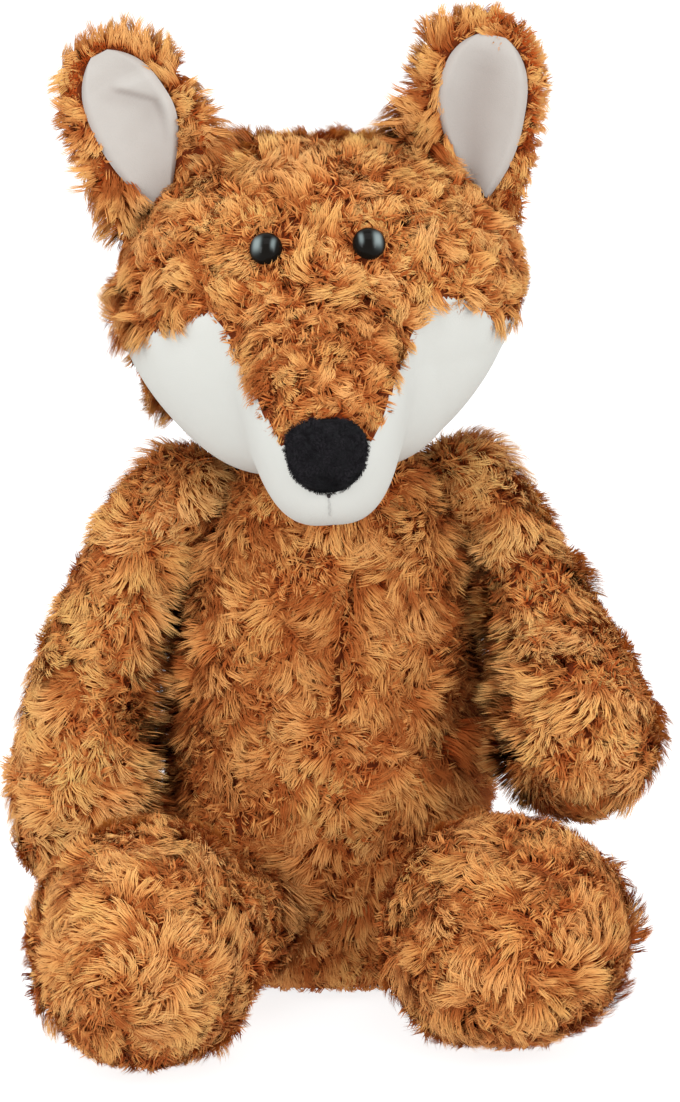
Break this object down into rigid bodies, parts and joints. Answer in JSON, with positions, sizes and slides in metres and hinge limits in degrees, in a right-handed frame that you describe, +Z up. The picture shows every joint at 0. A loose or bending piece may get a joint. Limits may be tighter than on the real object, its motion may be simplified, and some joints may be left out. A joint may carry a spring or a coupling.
{
  "type": "plush fox",
  "caption": "Sitting plush fox with a long white-cheeked snout, cupped ears, glossy eyes, soft swinging limbs and a tail.",
  "frame": {"origin": "on the floor, under the middle of the sitting toy's box", "axes": "+Z up, -Y the way the toy faces, +X the right-hand side of the front view"},
  "size_m": [0.1814, 0.2648, 0.2755],
  "materials": {
    "fur": "matte",
    "white_plush": "matte",
    "ear_lining": "matte",
    "tail_tip_fur": "matte",
    "nose_felt": "matte",
    "eye_plastic": "gloss",
    "washer_plastic": "satin",
    "fibre_filling": "matte",
    "pouch_cloth": "matte"
  },
  "bodies": {
    "torso": {"back_panel_left": "fur", "back_panel_right": "fur", "chest_panel_left": "fur", "chest_panel_right": "fur", "seat_panel": "fur", "bean_pouch": "pouch_cloth", "body_filling": "fibre_filling"},
    "head": {"face_panel": "fur", "cheek_left": "white_plush", "cheek_right": "white_plush", "head_back_left": "fur", "head_back_right": "fur", "head_filling": "fibre_filling", "nose_pad": "nose_felt", "eye_left": "eye_plastic", "eye_right": "eye_plastic", "eye_washer_left": "washer_plastic", "eye_washer_right": "washer_plastic"},
    "ear_left": {"ear_back_left": "fur", "ear_lining_left": "ear_lining"},
    "ear_right": {"ear_back_right": "fur", "ear_lining_right": "ear_lining"},
    "arm_left": {"arm_left_back": "fur", "arm_left_front": "fur", "arm_left_filling": "fibre_filling"},
    "arm_right": {"arm_right_back": "fur", "arm_right_front": "fur", "arm_right_filling": "fibre_filling"},
    "leg_left": {"leg_left_sole": "fur", "leg_left_top": "fur", "leg_left_under": "fur", "leg_left_filling": "fibre_filling"},
    "leg_right": {"leg_right_sole": "fur", "leg_right_top": "fur", "leg_right_under": "fur", "leg_right_filling": "fibre_filling"},
    "tail": {"tail_tip": "tail_tip_fur", "tail_top": "fur", "tail_under": "fur", "tail_filling": "fibre_filling"}
  },
  "joints": [
    {"name": "neck_turn", "type": "hinge", "parent": "torso", "child": "head", "pos_m": [-0.00138, 0.00276, 0.15], "axis": [0, 0, 1], "range_deg": [-20, 20], "stiffness_Nm_per_rad": 0.3},
    {"name": "ear_left_bend", "type": "hinge", "parent": "head", "child": "ear_left", "pos_m": [-0.04541, -0.00439, 0.22794], "axis": [0.8848, 0, 0.4659], "range_deg": [-12, 12], "stiffness_Nm_per_rad": 0.03},
    {"name": "ear_right_bend", "type": "hinge", "parent": "head", "child": "ear_right", "pos_m": [0.03649, -0.0041, 0.23195], "axis": [0.9672, 0, -0.2541], "range_deg": [-12, 12], "stiffness_Nm_per_rad": 0.03},
    {"name": "shoulder_left_swing", "type": "hinge", "parent": "torso", "child": "arm_left", "pos_m": [-0.04138, -0.00274, 0.1385], "axis": [-1, 0, 0], "range_deg": [-20, 60], "stiffness_Nm_per_rad": 0.15},
    {"name": "shoulder_right_swing", "type": "hinge", "parent": "torso", "child": "arm_right", "pos_m": [0.03862, 0.00826, 0.1395], "axis": [-1, 0, 0], "range_deg": [-20, 60], "stiffness_Nm_per_rad": 0.15},
    {"name": "hip_left_swing", "type": "hinge", "parent": "torso", "child": "leg_left", "pos_m": [-0.02438, -0.04174, 0.0245], "axis": [-1, 0, 0], "range_deg": [-45, 20], "stiffness_Nm_per_rad": 0.3},
    {"name": "hip_right_swing", "type": "hinge", "parent": "torso", "child": "leg_right", "pos_m": [0.03312, -0.03374, 0.0245], "axis": [-1, 0, 0], "range_deg": [-45, 12], "stiffness_Nm_per_rad": 0.3},
    {"name": "tail_lift", "type": "hinge", "parent": "torso", "child": "tail", "pos_m": [-0.00738, 0.04376, 0.024], "axis": [1, 0, 0], "range_deg": [0, 45], "stiffness_Nm_per_rad": 0.12}
  ]
}
